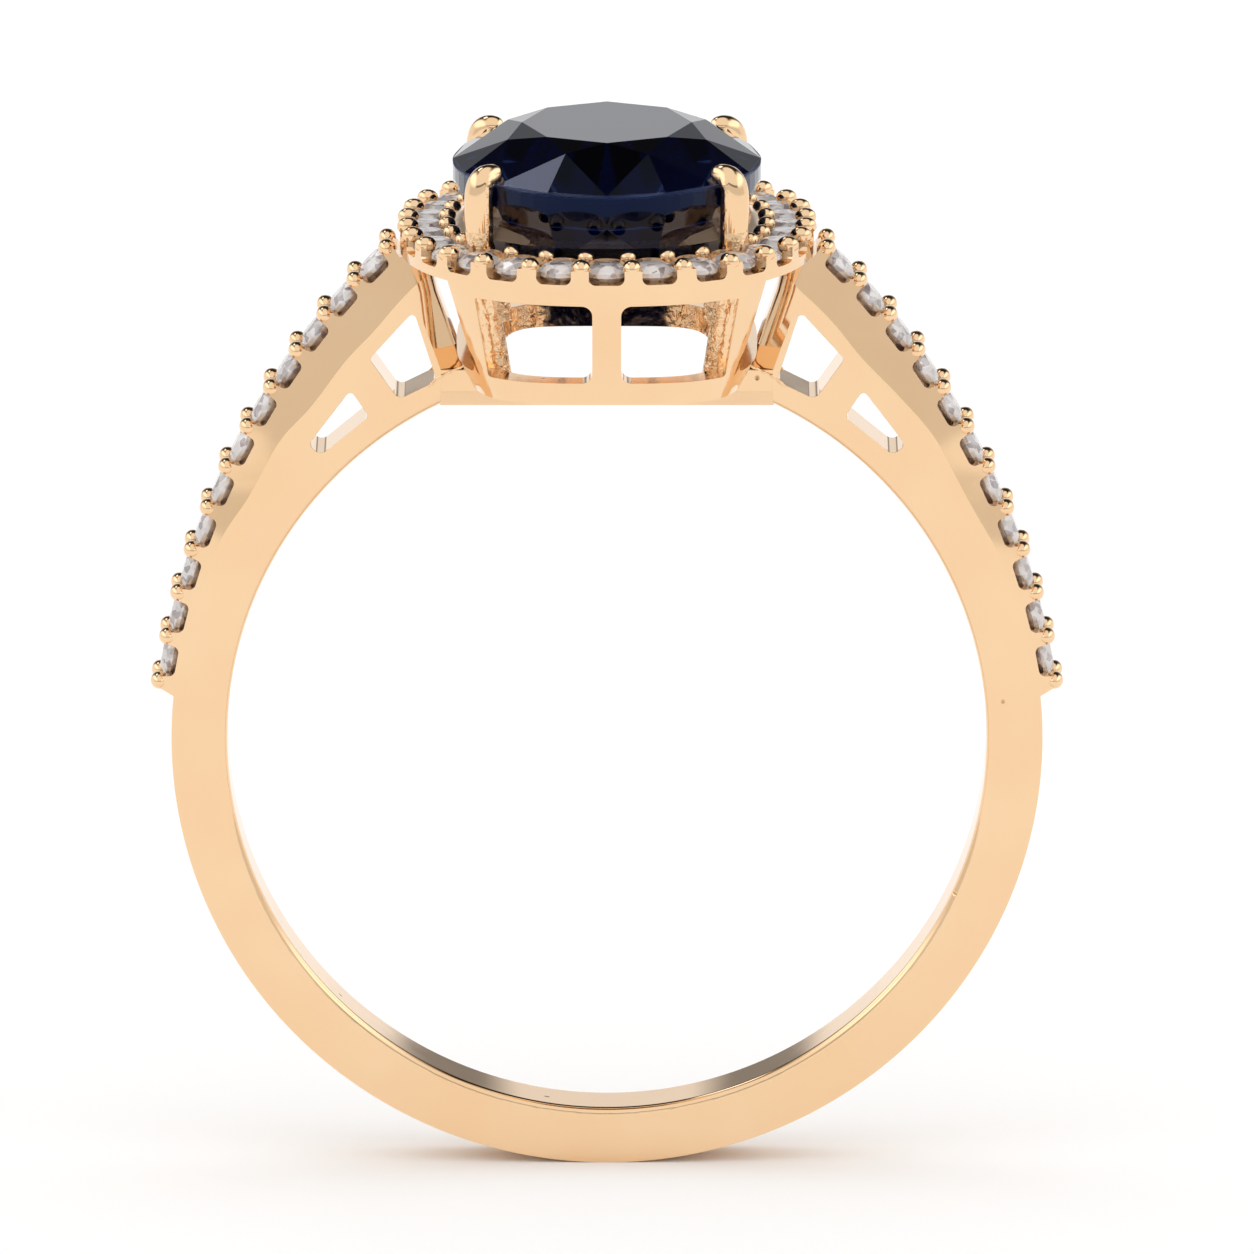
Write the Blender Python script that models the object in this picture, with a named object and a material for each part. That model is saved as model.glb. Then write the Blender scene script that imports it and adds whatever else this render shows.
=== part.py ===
"""Engagement ring: an oval blue centre stone in a halo, on a pierced cathedral shank.

Metres, +Z up. The origin is the centre of the finger hole. The finger runs along Y,
and the centre stone stands on +Z with its long axis along Y. Shapes are drawn in
millimetres and scaled to metres once, when each object is made. Each cast, turned or
cut piece is one closed body in its own object.
"""

import math

import bmesh
import bpy
from mathutils import Matrix, Vector

MM = 0.001
FIT = 0.02                      # gap left between pieces that touch on the ring
TOOL_REACH = 0.5                # how far a cutting tool stands clear of the metal

# Hoop
HOLE_RADIUS = 8.65
HOOP_RADIUS = 9.92
HOOP_HALF_WIDTH = 0.85
HOOP_STEPS = 60

# Shoulders: a row of stones on an arc from beside the halo down to the hoop
ROW_TOP = Vector((4.99, 11.37))
ROW_FOOT = Vector((10.19, 1.33))
ROW_RADIUS = 17.95
ROW_STONES = 11
POST_HALF_WIDTH = 0.17
POST_DROP = 0.06                # the posts' tops lie this far below the bead centres
SCALLOP_DEPTH = 0.30
SCALLOP_ROUND = 0.11
CHANNEL_HALF_WIDTH = 0.36
CHANNEL_DEPTH = 0.62
ROW_END_HEIGHT = 1.0            # where the row's last post steps in to the hoop
SHOULDER_BEAD_RADIUS = 0.20
SHOULDER_BEAD_SIDE = 0.58

# Shoulder windows and inner ends
WINDOW_ROUND = 0.16
BIG_WINDOW = [(3.86, 8.33), (4.73, 7.90), (5.39, 8.84), (4.38, 9.95)]
SMALL_WINDOW = [(5.40, 7.50), (6.50, 6.60), (6.78, 6.85), (5.82, 8.12)]
RAIL_END = 3.76
NOSE_BASE = (3.23, 8.60)
NOSE_KNEE = (3.85, 10.35)
NOSE_TOP = (4.05, 11.20)
NOSE_CREST = (4.70, 11.20)
NOSE_TAPER_LENGTH = 0.60
NOSE_TIP_HALF_WIDTH = 0.30

# Bridge below the basket
BRIDGE_HALF_WIDTH = 0.80
BRIDGE_UNDERSIDE = 7.65
BRIDGE_CHAMFER = (0.45, 0.43)   # along the finger, and up

# Basket (gallery)
BASKET_BOTTOM = 8.60
BASKET_TOP = 11.28
BASKET_BOTTOM_PLAN = (3.10, 4.80, 3.85)     # half X, half Y, superellipse exponent
BASKET_TOP_PLAN = (4.65, 5.67, 2.3)
BASKET_WALL = 0.70
BASKET_STEPS = 72
BASE_RAIL_TOP = 9.12
PANEL_WINDOW_TOP = 11.02
CENTRE_POST_HALF_WIDTH = 0.325
PANEL_WINDOW_OUTER_TOP = 2.97
PANEL_WINDOW_OUTER_FOOT = 2.67
PANEL_WINDOW_ROUND = 0.30
SIDE_OPENING_HALF_TOP = 4.05
SIDE_OPENING_HALF_FOOT = 3.75

# Halo seat and its stones
HALO_STONES = 28
HALO_PLAN = (4.08, 4.97, 2.3)               # centre line of the stones
HALO_BEAD_HEIGHT = 11.90
HALO_BEAD_RADIUS = 0.18
OUTER_BEADS = (0.49, 0.60)                  # offset from the centre line: side, end
INNER_BEADS = (-0.48, -0.60)
CLAW_BEADS = (3, 10, 17, 24)                # the claws take these inner beads' places
OUTER_EDGE = (0.62, 0.78)
INNER_EDGE = (-0.73, -0.97)
HALO_UNDERSIDE = 11.30
HALO_POST_TOP = 11.85
HALO_INNER_TOP = 11.98
HALO_CHANNEL_FLOOR = 11.66
HALO_CHANNEL = 0.39
HALO_SCALLOP_FLOOR = 11.52
HALO_SCALLOP_HALF_WIDTH = 0.40
HALO_SCALLOP_ROUND = 0.12
HALO_SCALLOP_START = 0.20       # from the stones' centre line
HALO_GIRDLE_HEIGHT = 11.75
BURR_CLEARANCE = 0.01           # the drilled seats are wider than the stones by this
BURR_TIP = 0.16                 # width of a seat's foot as a part of its mouth

# Small diamonds: radius, crown height, girdle thickness, pavilion depth
HALO_STONE = (0.51, 0.16, 0.02, 0.42)
ROW_STONE = (0.50, 0.15, 0.02, 0.41)
ROW_GIRDLE_DEPTH = 0.12
SMALL_TABLE = 0.56
SMALL_STONE_SIDES = 8

# Centre stone: oval brilliant, 7 by 9 mm
CENTRE_HALF_X = 3.50
CENTRE_HALF_Y = 4.50
CENTRE_TABLE_HEIGHT = 14.15
CENTRE_GIRDLE_TOP = 13.32
CENTRE_GIRDLE_BOTTOM = 12.96
CENTRE_TABLE = 0.55             # table and star tips as parts of the radius
CENTRE_STAR_TIP = 0.695
CENTRE_OUTLINE_STEPS = 64
# The full pavilion in tiers: facets, their turn in facets, and the foot's radius and height
CENTRE_PAVILION = [(16, 0.5, 0.90, 12.25), (8, 0.0, 0.68, 11.20), (8, 0.5, 0.0, 9.96)]

# Claws
CLAW_PATH = [(2.38, 3.00, 9.14), (2.68, 3.08, 11.50), (2.72, 3.09, 11.95),
             (2.88, 3.09, 12.60), (2.91, 3.08, 13.20), (2.86, 3.04, 13.46), (2.66, 2.92, 13.64)]
CLAW_RADII = [0.26, 0.24, 0.24, 0.30, 0.30, 0.29, 0.24]
CLAW_SIDES = 10
CLAW_TIP_STEPS = 3

BEAD_SEGMENTS = 8
BEAD_RINGS = 5

GOLD = ((0.90, 0.60, 0.33), 0.12, 1.0)
SAPPHIRE = ((0.006, 0.018, 0.13), 0.03, 0.0)
DIAMOND = ((0.86, 0.86, 0.90), 0.03, 0.0)

SIDES = {"left": -1, "right": 1}


def clear_scene():
    for item in list(bpy.data.objects):
        bpy.data.objects.remove(item, do_unlink=True)


def make_material(name, finish):
    colour, roughness, metallic = finish
    material = bpy.data.materials.new(name)
    material.use_nodes = True
    shader = material.node_tree.nodes["Principled BSDF"]
    shader.inputs["Base Color"].default_value = (*colour, 1.0)
    shader.inputs["Roughness"].default_value = roughness
    shader.inputs["Metallic"].default_value = metallic
    material.diffuse_color = (*colour, 1.0)
    return material


def add_object(name, bm):
    """Turn a bmesh drawn in millimetres into a linked object in metres."""
    bmesh.ops.scale(bm, vec=(MM, MM, MM), verts=bm.verts)
    bmesh.ops.recalc_face_normals(bm, faces=bm.faces)
    mesh = bpy.data.meshes.new(name)
    bm.to_mesh(mesh)
    bm.free()
    item = bpy.data.objects.new(name, mesh)
    bpy.context.collection.objects.link(item)
    return item


def add_piece(name, bm, finish):
    piece = add_object(name, bm)
    piece.data.materials.append(make_material(name + "_finish", finish))
    return piece


def add_tool(name, bm):
    """An object that only shapes another one, kept out of the renders."""
    tool = add_object(name, bm)
    tool.hide_render = True
    tool.display_type = "WIRE"
    return tool


def combine(piece, operation, tool):
    modifier = piece.modifiers.new(tool.name, "BOOLEAN")
    modifier.operation = operation
    modifier.solver = "EXACT"
    modifier.object = tool


def close_loft(bm, rings):
    """Join rings of points, in order, into one closed body with flat ends."""
    loops = [[bm.verts.new(point) for point in ring] for ring in rings]
    count = len(loops[0])
    for lower, upper in zip(loops, loops[1:]):
        for i in range(count):
            j = (i + 1) % count
            bm.faces.new((lower[i], lower[j], upper[j], upper[i]))
    bm.faces.new(list(reversed(loops[0])))
    bm.faces.new(loops[-1])


def add_prism(bm, outline, near, far, axis="Y"):
    """Extrude an outline along Y (points are X, Z) or along X (points are Y, Z)."""
    if axis == "Y":
        rings = [[(a, reach, z) for a, z in outline] for reach in (near, far)]
    else:
        rings = [[(reach, a, z) for a, z in outline] for reach in (near, far)]
    close_loft(bm, rings)


def add_bead(bm, centre, radius):
    bmesh.ops.create_uvsphere(bm, u_segments=BEAD_SEGMENTS, v_segments=BEAD_RINGS,
                              radius=radius, matrix=Matrix.Translation(centre))


def rounded(corners, radius, steps=3):
    """Replace each corner of a polygon by a short round."""
    outline = []
    count = len(corners)
    for i in range(count):
        corner = Vector(corners[i])
        before = (Vector(corners[i - 1]) - corner).normalized()
        after = (Vector(corners[(i + 1) % count]) - corner).normalized()
        half_angle = before.angle(after) / 2
        centre = corner + (before + after).normalized() * radius / math.sin(half_angle)
        start = corner + before * radius / math.tan(half_angle) - centre
        end = corner + after * radius / math.tan(half_angle) - centre
        for k in range(steps + 1):
            spoke = start.lerp(end, k / steps).normalized() * radius
            outline.append(tuple(centre + spoke))
    return outline


def mirrored(points):
    return [(-a, z) for a, z in reversed(points)]


def superellipse(plan, turn, inset=0.0):
    """A point of a cushion-oval outline at a turn in radians."""
    half_x, half_y, exponent = plan
    across, along = math.cos(turn), math.sin(turn)
    x = (half_x - inset) * math.copysign(abs(across) ** (2 / exponent), across)
    y = (half_y - inset) * math.copysign(abs(along) ** (2 / exponent), along)
    return Vector((x, y))


class HaloTrack:
    """The cushion-oval line of the halo stones, measured by distance along it."""

    FINE_STEPS = 1440

    def __init__(self):
        turns = [math.tau * k / self.FINE_STEPS - math.pi / 2 for k in range(self.FINE_STEPS + 1)]
        self.points = [superellipse(HALO_PLAN, turn) for turn in turns]
        self.distance = [0.0]
        for before, after in zip(self.points, self.points[1:]):
            self.distance.append(self.distance[-1] + (after - before).length)

    def at(self, station):
        """Point and outward direction, with station counted in stone pitches."""
        target = (station / HALO_STONES) % 1.0 * self.distance[-1]
        k = 1
        while self.distance[k] < target:
            k += 1
        span = self.distance[k] - self.distance[k - 1]
        point = self.points[k - 1].lerp(self.points[k], (target - self.distance[k - 1]) / span)
        along = (self.points[(k + 1) % self.FINE_STEPS] - self.points[k - 2]).normalized()
        return point, Vector((along.y, -along.x))

    def offset(self, station, band):
        """A point beside the line. The band is wider at the ends than at the sides."""
        point, outward = self.at(station)
        side, end = band
        return point + outward * (side + (end - side) * outward.y ** 2)


class ShoulderRow:
    """The arc of the right shoulder's stones, in the XZ plane."""

    def __init__(self):
        chord = ROW_FOOT - ROW_TOP
        outward = Vector((-chord.y, chord.x)).normalized()
        rise = math.sqrt(ROW_RADIUS ** 2 - (chord.length / 2) ** 2)
        self.centre = (ROW_TOP + ROW_FOOT) / 2 - outward * rise
        top = ROW_TOP - self.centre
        foot = ROW_FOOT - self.centre
        self.start = math.atan2(top.y, top.x)
        self.step = (self.start - math.atan2(foot.y, foot.x)) / ROW_STONES

    def outward(self, station):
        turn = self.start - station * self.step
        return Vector((math.cos(turn), math.sin(turn)))

    def at(self, station, depth=0.0, along=0.0):
        """A point at a bead station, below the bead line and shifted down the row."""
        turn = self.start - station * self.step - along / ROW_RADIUS
        spoke = Vector((math.cos(turn), math.sin(turn)))
        return tuple(self.centre + spoke * (ROW_RADIUS - depth))


def circle_arc(radius, start, end, steps):
    """Points on a circle about the origin, from one turn to another, in XZ."""
    turns = [start + (end - start) * k / steps for k in range(steps + 1)]
    return [(radius * math.cos(turn), radius * math.sin(turn)) for turn in turns]


def scalloped_edge(row):
    """The right shoulder's top edge: posts with a U-shaped scallop between each two."""
    edge = []
    for station in range(ROW_STONES + 1):
        edge.append(row.at(station, POST_DROP, -POST_HALF_WIDTH))
        edge.append(row.at(station, POST_DROP, POST_HALF_WIDTH))
        if station < ROW_STONES:
            wall = SCALLOP_DEPTH - SCALLOP_ROUND
            floor = POST_HALF_WIDTH + SCALLOP_ROUND
            edge.append(row.at(station, wall, POST_HALF_WIDTH))
            edge.append(row.at(station, SCALLOP_DEPTH, floor))
            edge.append(row.at(station + 1, SCALLOP_DEPTH, -floor))
            edge.append(row.at(station + 1, wall, -POST_HALF_WIDTH))
    return edge


def shank_outline(row):
    """Half of the outer edge, its mirror image, and the finger hole's edge."""
    row_end = math.asin(ROW_END_HEIGHT / HOOP_RADIUS)
    lower_hoop = circle_arc(HOOP_RADIUS, row_end, -math.pi / 2, HOOP_STEPS // 2)
    right = [(RAIL_END, NOSE_BASE[1]), NOSE_BASE, NOSE_KNEE, NOSE_TOP, NOSE_CREST]
    right += scalloped_edge(row) + lower_hoop
    rail_turn = math.acos(RAIL_END / HOLE_RADIUS)
    hole = circle_arc(HOLE_RADIUS, -math.pi - rail_turn, rail_turn, HOOP_STEPS)
    return right + mirrored(right[:-1]) + hole


def channel_outline(row):
    """The trench below the stones of the right shoulder, between the end posts."""
    outer = [row.at(k, -TOOL_REACH) for k in range(ROW_STONES + 1)]
    inner = [row.at(k, CHANNEL_DEPTH) for k in range(ROW_STONES + 1)]
    return outer + inner[::-1]


def add_nose_wedge(bm, side, front):
    """The slice taken off one corner of a shoulder's inner end."""
    rings = []
    for x, z in (NOSE_BASE, NOSE_KNEE, NOSE_TOP):
        tip, heel = x - FIT, x + NOSE_TAPER_LENGTH
        outer = HOOP_HALF_WIDTH + FIT
        clear, past = tip - TOOL_REACH, outer + TOOL_REACH
        corners = [(clear, NOSE_TIP_HALF_WIDTH), (tip, NOSE_TIP_HALF_WIDTH),
                   (heel, outer), (heel, past), (clear, past)]
        rings.append([(side * a, front * b, z) for a, b in corners])
    rings[-1] = [(x, y, z + TOOL_REACH) for x, y, z in rings[-1]]
    close_loft(bm, rings)


def make_shank(row):
    body = bmesh.new()
    add_prism(body, shank_outline(row), -HOOP_HALF_WIDTH, HOOP_HALF_WIDTH)
    shank = add_piece("shank", body, GOLD)

    reach = HOOP_HALF_WIDTH + TOOL_REACH
    windows = bmesh.new()
    channels = bmesh.new()
    wedges = bmesh.new()
    for side in SIDES.values():
        for corners in (BIG_WINDOW, SMALL_WINDOW):
            outline = [(side * x, z) for x, z in rounded(corners, WINDOW_ROUND)]
            add_prism(windows, outline, -reach, reach)
        outline = [(side * x, z) for x, z in channel_outline(row)]
        add_prism(channels, outline, -CHANNEL_HALF_WIDTH, CHANNEL_HALF_WIDTH)
        for front in (-1, 1):
            add_nose_wedge(wedges, side, front)
    combine(shank, "DIFFERENCE", add_tool("shoulder_window_tool", windows))
    combine(shank, "DIFFERENCE", add_tool("bead_channel_tool", channels))
    combine(shank, "DIFFERENCE", add_tool("nose_taper_tool", wedges))

    beads = bmesh.new()
    for station in range(ROW_STONES + 1):
        x, z = row.at(station)
        for side in SIDES.values():
            for front in (-1, 1):
                centre = (side * x, front * SHOULDER_BEAD_SIDE, z)
                add_bead(beads, centre, SHOULDER_BEAD_RADIUS)
    combine(shank, "UNION", add_tool("shoulder_bead_tool", beads))
    return shank


def make_bridge():
    """The bar under the basket that joins the two shoulder rails."""
    half = BRIDGE_HALF_WIDTH
    top = BASKET_BOTTOM - FIT
    low = BRIDGE_UNDERSIDE
    inward, upward = BRIDGE_CHAMFER
    section = [(-half, top), (-half, low + upward), (inward - half, low),
               (half - inward, low), (half, low + upward), (half, top)]
    bar = bmesh.new()
    add_prism(bar, section, -(RAIL_END - FIT), RAIL_END - FIT, axis="X")
    return add_piece("under_bridge", bar, GOLD)


def basket_ring(inset, height):
    """One level of the basket wall, blended from the foot plan to the top plan."""
    rise = (height - BASKET_BOTTOM) / (BASKET_TOP - BASKET_BOTTOM)
    ring = []
    for k in range(BASKET_STEPS):
        turn = math.tau * k / BASKET_STEPS
        foot = superellipse(BASKET_BOTTOM_PLAN, turn, inset)
        top = superellipse(BASKET_TOP_PLAN, turn, inset)
        point = foot.lerp(top, rise)
        ring.append((point.x, point.y, height))
    return ring


def make_gallery():
    wall = bmesh.new()
    close_loft(wall, [basket_ring(0.0, BASKET_BOTTOM), basket_ring(0.0, BASKET_TOP)])
    gallery = add_piece("gallery", wall, GOLD)

    hollow = bmesh.new()
    levels = (BASKET_BOTTOM - TOOL_REACH, BASKET_TOP + TOOL_REACH)
    close_loft(hollow, [basket_ring(BASKET_WALL, level) for level in levels])
    combine(gallery, "DIFFERENCE", add_tool("basket_hollow_tool", hollow))

    reach = BASKET_TOP_PLAN[1] + TOOL_REACH
    windows = bmesh.new()
    for side in SIDES.values():
        corners = [(side * CENTRE_POST_HALF_WIDTH, BASE_RAIL_TOP),
                   (side * PANEL_WINDOW_OUTER_FOOT, BASE_RAIL_TOP),
                   (side * PANEL_WINDOW_OUTER_TOP, PANEL_WINDOW_TOP),
                   (side * CENTRE_POST_HALF_WIDTH, PANEL_WINDOW_TOP)]
        add_prism(windows, rounded(corners, PANEL_WINDOW_ROUND), -reach, reach)
    combine(gallery, "DIFFERENCE", add_tool("panel_window_tool", windows))

    foot, top = SIDE_OPENING_HALF_FOOT, SIDE_OPENING_HALF_TOP
    opening = [(-foot, BASE_RAIL_TOP), (foot, BASE_RAIL_TOP),
               (top, BASKET_TOP + TOOL_REACH), (-top, BASKET_TOP + TOOL_REACH)]
    sides = bmesh.new()
    add_prism(sides, opening, -reach, reach, axis="X")
    combine(gallery, "DIFFERENCE", add_tool("side_opening_tool", sides))
    return gallery


def stone_frame(origin, outward_axis):
    """Rotation that stands a stone's table towards an axis, then its place."""
    turn = Vector((0, 0, 1)).rotation_difference(outward_axis).to_matrix().to_4x4()
    return Matrix.Translation(origin) @ turn


def halo_stone_frame(track, number):
    point, outward = track.at(number)
    spin = Matrix.Rotation(math.atan2(outward.y, outward.x), 4, "Z")
    return Matrix.Translation((point.x, point.y, HALO_GIRDLE_HEIGHT)) @ spin


def facet_ring(radius, height, sides=SMALL_STONE_SIDES):
    """A ring of corners, turned so that a flat faces each neighbouring stone."""
    turns = [math.tau * (k + 0.5) / sides for k in range(sides)]
    return [Vector((radius * math.cos(turn), radius * math.sin(turn), height)) for turn in turns]


def make_halo_seat(track, claws):
    per_pitch = 3
    section = [(OUTER_EDGE, HALO_UNDERSIDE), (OUTER_EDGE, HALO_POST_TOP),
               ((HALO_CHANNEL, HALO_CHANNEL), HALO_POST_TOP),
               ((HALO_CHANNEL, HALO_CHANNEL), HALO_CHANNEL_FLOOR),
               ((-HALO_CHANNEL, -HALO_CHANNEL), HALO_CHANNEL_FLOOR),
               ((-HALO_CHANNEL, -HALO_CHANNEL), HALO_INNER_TOP),
               (INNER_EDGE, HALO_INNER_TOP), (INNER_EDGE, HALO_UNDERSIDE)]
    body = bmesh.new()
    loops = []
    for k in range(HALO_STONES * per_pitch):
        station = (k + 0.5) / per_pitch
        loop = []
        for band, height in section:
            point = track.offset(station, band)
            loop.append(body.verts.new((point.x, point.y, height)))
        loops.append(loop)
    for here, ahead in zip(loops, loops[1:] + loops[:1]):
        for i in range(len(section)):
            j = (i + 1) % len(section)
            body.faces.new((here[i], here[j], ahead[j], ahead[i]))
    seat = add_piece("halo_seat", body, GOLD)

    radius, _, _, pavilion = HALO_STONE
    mouth = radius + BURR_CLEARANCE
    foot = mouth * BURR_TIP
    seats = bmesh.new()
    scallops = bmesh.new()
    beads = bmesh.new()
    for number in range(HALO_STONES):
        frame = halo_stone_frame(track, number)
        rings = [facet_ring(foot, -pavilion - TOOL_REACH), facet_ring(foot, -pavilion),
                 facet_ring(mouth, 0.0), facet_ring(mouth, TOOL_REACH)]
        close_loft(seats, [[frame @ point for point in ring] for ring in rings])

        half, floor = HALO_SCALLOP_HALF_WIDTH, HALO_SCALLOP_FLOOR - HALO_GIRDLE_HEIGHT
        bend = HALO_SCALLOP_ROUND
        outline = [(-half, TOOL_REACH), (-half, floor + bend), (bend - half, floor),
                   (half - bend, floor), (half, floor + bend), (half, TOOL_REACH)]
        rings = [[frame @ Vector((reach, a, z)) for a, z in outline]
                 for reach in (HALO_SCALLOP_START, OUTER_EDGE[1] + TOOL_REACH)]
        close_loft(scallops, rings)
        for band in (OUTER_BEADS, INNER_BEADS):
            if band is INNER_BEADS and number in CLAW_BEADS:
                continue
            point = track.offset(number + 0.5, band)
            add_bead(beads, (point.x, point.y, HALO_BEAD_HEIGHT), HALO_BEAD_RADIUS)
    combine(seat, "DIFFERENCE", add_tool("stone_seat_tool", seats))
    combine(seat, "DIFFERENCE", add_tool("halo_scallop_tool", scallops))
    combine(seat, "UNION", add_tool("halo_bead_tool", beads))

    notches = bmesh.new()
    for side, front in claws.values():
        add_claw_body(notches, side, front, swell=FIT)
    combine(seat, "DIFFERENCE", add_tool("claw_notch_tool", notches))
    return seat


def add_small_stone(bm, size, frame):
    """Single-cut diamond: table, eight crown facets, thin girdle, eight facets below."""
    radius, crown, girdle, pavilion = size
    rings = [facet_ring(radius, -girdle), facet_ring(radius, 0.0),
             facet_ring(radius * SMALL_TABLE, crown)]
    loops = [[bm.verts.new(frame @ point) for point in ring] for ring in rings]
    culet = bm.verts.new(frame @ Vector((0, 0, -girdle - pavilion)))
    for i in range(SMALL_STONE_SIDES):
        j = (i + 1) % SMALL_STONE_SIDES
        for lower, upper in zip(loops, loops[1:]):
            bm.faces.new((lower[i], lower[j], upper[j], upper[i]))
        bm.faces.new((culet, loops[0][j], loops[0][i]))
    bm.faces.new(loops[-1])


def make_small_stones(row, track):
    for number in range(HALO_STONES):
        stone = bmesh.new()
        add_small_stone(stone, HALO_STONE, halo_stone_frame(track, number))
        add_piece(f"halo_diamond_{number + 1:02d}", stone, DIAMOND)
    for name, side in SIDES.items():
        for number in range(ROW_STONES):
            x, z = row.at(number + 0.5, ROW_GIRDLE_DEPTH)
            outward = row.outward(number + 0.5)
            axis = Vector((side * outward.x, 0, outward.y))
            frame = stone_frame((side * x, 0, z), axis)
            stone = bmesh.new()
            add_small_stone(stone, ROW_STONE, frame)
            add_piece(f"{name}_shoulder_diamond_{number + 1:02d}", stone, DIAMOND)


def spoke(turn, radius, height):
    return Vector((radius * math.cos(turn), radius * math.sin(turn), height))


def plane_through(a, b, c):
    """A point and a normal, with the normal pointing away from the stone's middle."""
    normal = (b - a).cross(c - a).normalized()
    middle = Vector((0, 0, (CENTRE_GIRDLE_TOP + CENTRE_GIRDLE_BOTTOM) / 2))
    if normal.dot(a - middle) < 0:
        normal = -normal
    return a, normal


def centre_stone_planes():
    """Cut planes of an oval brilliant, on a stone of radius one before it is stretched."""
    table_turns = [math.radians(45 * k) for k in range(8)]
    half = math.radians(22.5)
    top, girdle = CENTRE_TABLE_HEIGHT, CENTRE_GIRDLE_TOP

    main_run = 1 - CENTRE_TABLE
    tip_reach = CENTRE_STAR_TIP * math.cos(half)
    tip_height = girdle + (top - girdle) * (1 - tip_reach) / main_run

    planes = [(Vector((0, 0, top)), Vector((0, 0, 1)))]
    for turn in table_turns:
        star_tip = spoke(turn + half, CENTRE_STAR_TIP, tip_height)
        rim = spoke(turn, 1, girdle)
        across = spoke(turn + math.pi / 2, 1, 0)
        table_corner = spoke(turn, CENTRE_TABLE, top)
        next_corner = spoke(turn + 2 * half, CENTRE_TABLE, top)
        planes.append(plane_through(table_corner, rim, rim + across))
        planes.append(plane_through(table_corner, next_corner, star_tip))
        for near in (turn, turn + half):
            far = near + half
            planes.append(plane_through(star_tip, spoke(near, 1, girdle), spoke(far, 1, girdle)))

    head = (1.0, CENTRE_GIRDLE_BOTTOM)
    for count, shift, *foot in CENTRE_PAVILION:
        for k in range(count):
            turn = math.tau * (k + shift) / count
            upper = spoke(turn, *head)
            across = spoke(turn + math.pi / 2, 1, 0)
            planes.append(plane_through(upper, spoke(turn, *foot), upper + across))
        head = foot
    return planes


def cut_centre_stone(bm, swell=0.0):
    """Slice a stone of radius one by its facet planes, then stretch it to an oval."""
    steps = CENTRE_OUTLINE_STEPS
    turns = [math.tau * k / steps for k in range(steps)]
    close_loft(bm, [[spoke(turn, 1, height) for turn in turns]
                    for height in (BASKET_BOTTOM, CENTRE_TABLE_HEIGHT + TOOL_REACH)])
    for point, normal in centre_stone_planes():
        geometry = bm.verts[:] + bm.edges[:] + bm.faces[:]
        cut = bmesh.ops.bisect_plane(bm, geom=geometry, dist=0.0005, plane_co=point,
                                     plane_no=normal, clear_outer=True)
        edges = [item for item in cut["geom_cut"] if isinstance(item, bmesh.types.BMEdge)]
        if len(edges) > 2:
            bmesh.ops.holes_fill(bm, edges=[edge for edge in bm.edges if edge.is_boundary])
    stretch = (CENTRE_HALF_X + swell, CENTRE_HALF_Y + swell, 1)
    bmesh.ops.scale(bm, vec=stretch, verts=bm.verts)
    bmesh.ops.remove_doubles(bm, verts=bm.verts, dist=0.002)


def claw_rings(side, front, swell):
    """Rings square to the claw's path, ending in a small dome bent over the stone."""
    path = [Vector((side * x, front * y, z)) for x, y, z in CLAW_PATH]
    rings = []
    for k, centre in enumerate(path):
        ahead = path[min(k + 1, len(path) - 1)]
        behind = path[max(k - 1, 0)]
        along = (ahead - behind).normalized() if k else Vector((0, 0, 1))
        rings.append((centre, along, CLAW_RADII[k] + swell))
    tip, along, radius = rings[-1]
    for k in range(1, CLAW_TIP_STEPS):
        turn = math.pi / 2 * k / CLAW_TIP_STEPS
        rings.append((tip + along * radius * 0.8 * math.sin(turn), along,
                      radius * math.cos(turn)))
    return rings


def add_claw_body(bm, side, front, swell=0.0):
    loops = []
    for centre, along, radius in claw_rings(side, front, swell):
        turned = stone_frame(centre, along)
        turns = [math.tau * k / CLAW_SIDES for k in range(CLAW_SIDES)]
        loops.append([turned @ spoke(turn, radius, 0) for turn in turns])
    close_loft(bm, loops)


def make_claws(claws):
    for name, (side, front) in claws.items():
        wire = bmesh.new()
        add_claw_body(wire, side, front)
        claw = add_piece(name, wire, GOLD)
        stone = bmesh.new()
        cut_centre_stone(stone, swell=0.01)
        combine(claw, "DIFFERENCE", add_tool(name + "_notch_tool", stone))


def shade_round_pieces():
    """Smooth the gold pieces across their gentle bends, and leave the facets flat."""
    for item in bpy.data.objects:
        if item.hide_render or "diamond" in item.name or "sapphire" in item.name:
            continue
        item.data.shade_smooth()
        item.data.set_sharp_from_angle(angle=math.radians(35))


def main():
    clear_scene()
    row = ShoulderRow()
    track = HaloTrack()
    claws = {"claw_front_left": (-1, -1), "claw_front_right": (1, -1),
             "claw_back_left": (-1, 1), "claw_back_right": (1, 1)}
    make_shank(row)
    make_bridge()
    make_gallery()
    make_halo_seat(track, claws)
    make_claws(claws)
    stone = bmesh.new()
    cut_centre_stone(stone)
    add_piece("center_sapphire", stone, SAPPHIRE)
    make_small_stones(row, track)
    shade_round_pieces()


main()
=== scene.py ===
import math

import bmesh
import bpy
from mathutils import Matrix, Vector


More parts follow.
